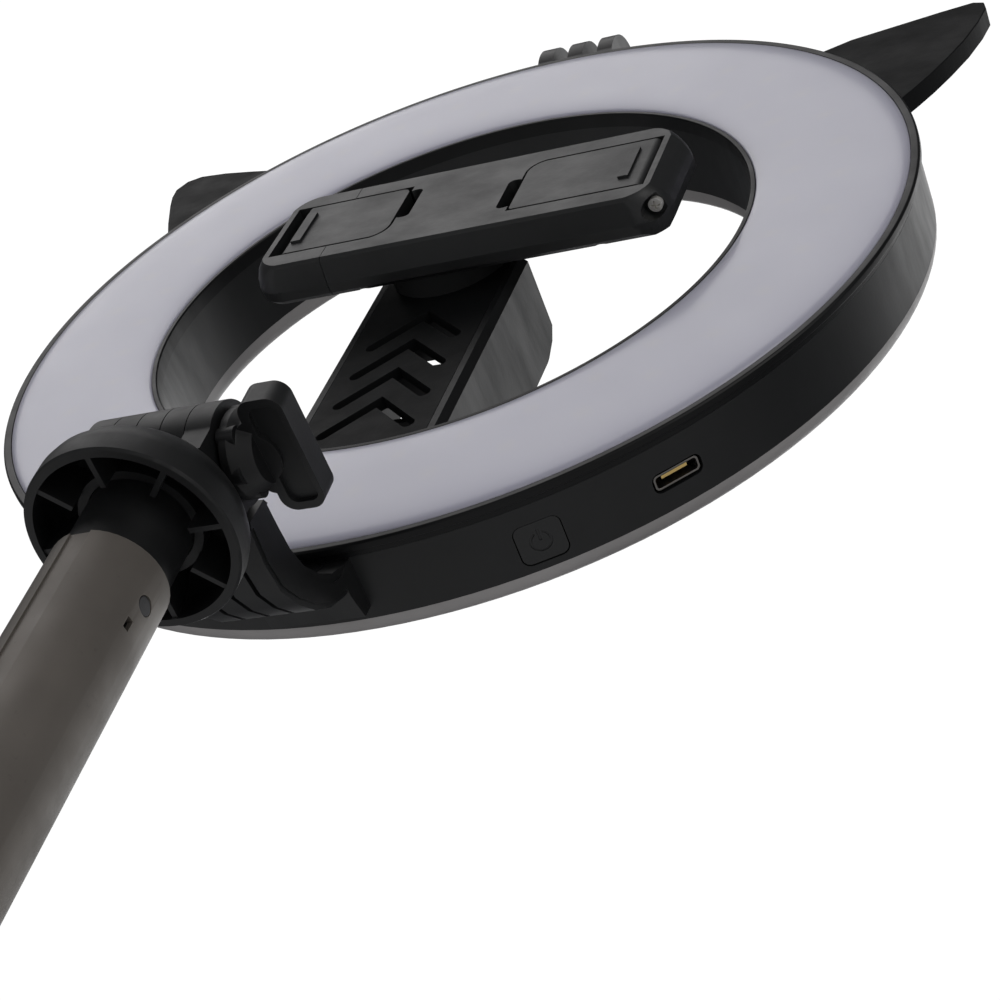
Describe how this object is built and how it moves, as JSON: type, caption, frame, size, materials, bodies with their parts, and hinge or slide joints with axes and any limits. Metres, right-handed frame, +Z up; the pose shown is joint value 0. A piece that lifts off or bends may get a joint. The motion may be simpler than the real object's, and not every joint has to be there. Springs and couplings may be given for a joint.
{
  "type": "ring light",
  "caption": "Small ring light head on an aluminium tube: tilts at a finger joint, and carries a swivelling spring clamp for a telephone inside the ring.",
  "frame": {"origin": "centre of the tube foot's lower end, on the tube's axis", "axes": "+Z up along the tube, the diffuser faces -Y, the tilt handle is on the +X side"},
  "size_m": [0.1691, 0.0698, 0.4723],
  "materials": {
    "housing_black": "moulded black ABS, fine satin texture",
    "bezel_black": "satin black ABS trim",
    "cover_grey": "light grey moulded plastic, satin",
    "opal": "opal diffusing acrylic, satin",
    "board_white": "white solder mask on the light board",
    "led_yellow": "phosphor-coated light sources",
    "board_green": "green solder mask",
    "screw_steel": "zinc-plated steel screws",
    "shell_steel": "tinned steel socket shell",
    "contact_gold": "gold-plated contact tongue",
    "switch_black": "black switch body",
    "button_black": "satin black button cap",
    "cell_blue": "shrink-wrapped cell pouch",
    "arm_black": "black glass-filled nylon",
    "clamp_black": "charcoal moulded plastic, satin",
    "jaw_black": "charcoal moulded plastic jaws, fine texture",
    "screw_black": "black-oxide steel screws",
    "tube_metal": "warm grey anodised aluminium tube",
    "joint_black": "black nylon joint parts"
  },
  "bodies": {
    "stand": {"tube": "tube_metal", "tube_sleeve": "joint_black", "sleeve_rivet": "screw_black", "tube_foot": "joint_black", "knuckle_collar": "joint_black", "tilt_nut": "screw_steel"},
    "tilt_lock": {"tilt_bolt": "screw_steel", "tilt_handle": "joint_black"},
    "head": {"rear_housing": "housing_black", "back_cover": "cover_grey", "outer_bezel": "bezel_black", "inner_bezel": "bezel_black", "diffuser": "opal", "led_board": "board_white", "leds": "led_yellow", "control_board": "board_green", "usb_shell": "shell_steel", "usb_tongue": "contact_gold", "tact_switch": "switch_black", "battery": "cell_blue", "cover_screws": "screw_steel", "left_fin": "housing_black", "right_fin": "housing_black", "top_mount": "housing_black", "hook_bracket": "joint_black", "hook_screws": "screw_steel", "arm_frame": "arm_black", "arm_front_plate": "arm_black", "arm_screws": "screw_steel"},
    "button": {"power_button": "button_black"},
    "clamp": {"clamp_front": "clamp_black", "clamp_back": "clamp_black", "clamp_screws": "screw_black", "swivel_screw": "screw_steel", "swivel_washer": "screw_steel", "clamp_end_screw": "screw_steel", "slide_springs": "screw_steel", "right_jaw_pin": "screw_steel"},
    "slider": {"clamp_slider": "clamp_black", "slider_tongue": "clamp_black", "left_jaw_pin": "screw_steel"},
    "jaw_right": {"right_jaw": "jaw_black"},
    "jaw_left": {"left_jaw": "jaw_black"}
  },
  "joints": [
    {"name": "head_tilt", "type": "hinge", "parent": "stand", "child": "head", "pos_m": [0, 0, 0.276], "axis": [1, 0, 0], "range_deg": [-17, 90]},
    {"name": "tilt_lock_turn", "type": "hinge", "parent": "stand", "child": "tilt_lock", "pos_m": [0, 0, 0.276], "axis": [1, 0, 0], "continuous": true},
    {"name": "button_press", "type": "slide", "parent": "head", "child": "button", "axis": [-0.421, 0.0475, 0.9058], "range_m": [0, 0.0005]},
    {"name": "clamp_swivel", "type": "hinge", "parent": "head", "child": "clamp", "pos_m": [0, 0.03302, 0.37671], "axis": [0, 0.9986, -0.0523], "continuous": true},
    {"name": "clamp_slide", "type": "slide", "parent": "clamp", "child": "slider", "axis": [-1, 0, 0], "range_m": [0, 0.025], "stiffness_N_per_m": 30, "springref_m": -0.005, "deforming": ["slide_springs"]},
    {"name": "right_jaw_flip", "type": "hinge", "parent": "clamp", "child": "jaw_right", "pos_m": [0.0392, 0.02343, 0.37721], "axis": [0, 0.0523, 0.9986], "range_deg": [0, 90]},
    {"name": "left_jaw_flip", "type": "hinge", "parent": "slider", "child": "jaw_left", "pos_m": [-0.0254, 0.02343, 0.37721], "axis": [0, -0.0523, -0.9986], "range_deg": [0, 90]}
  ]
}
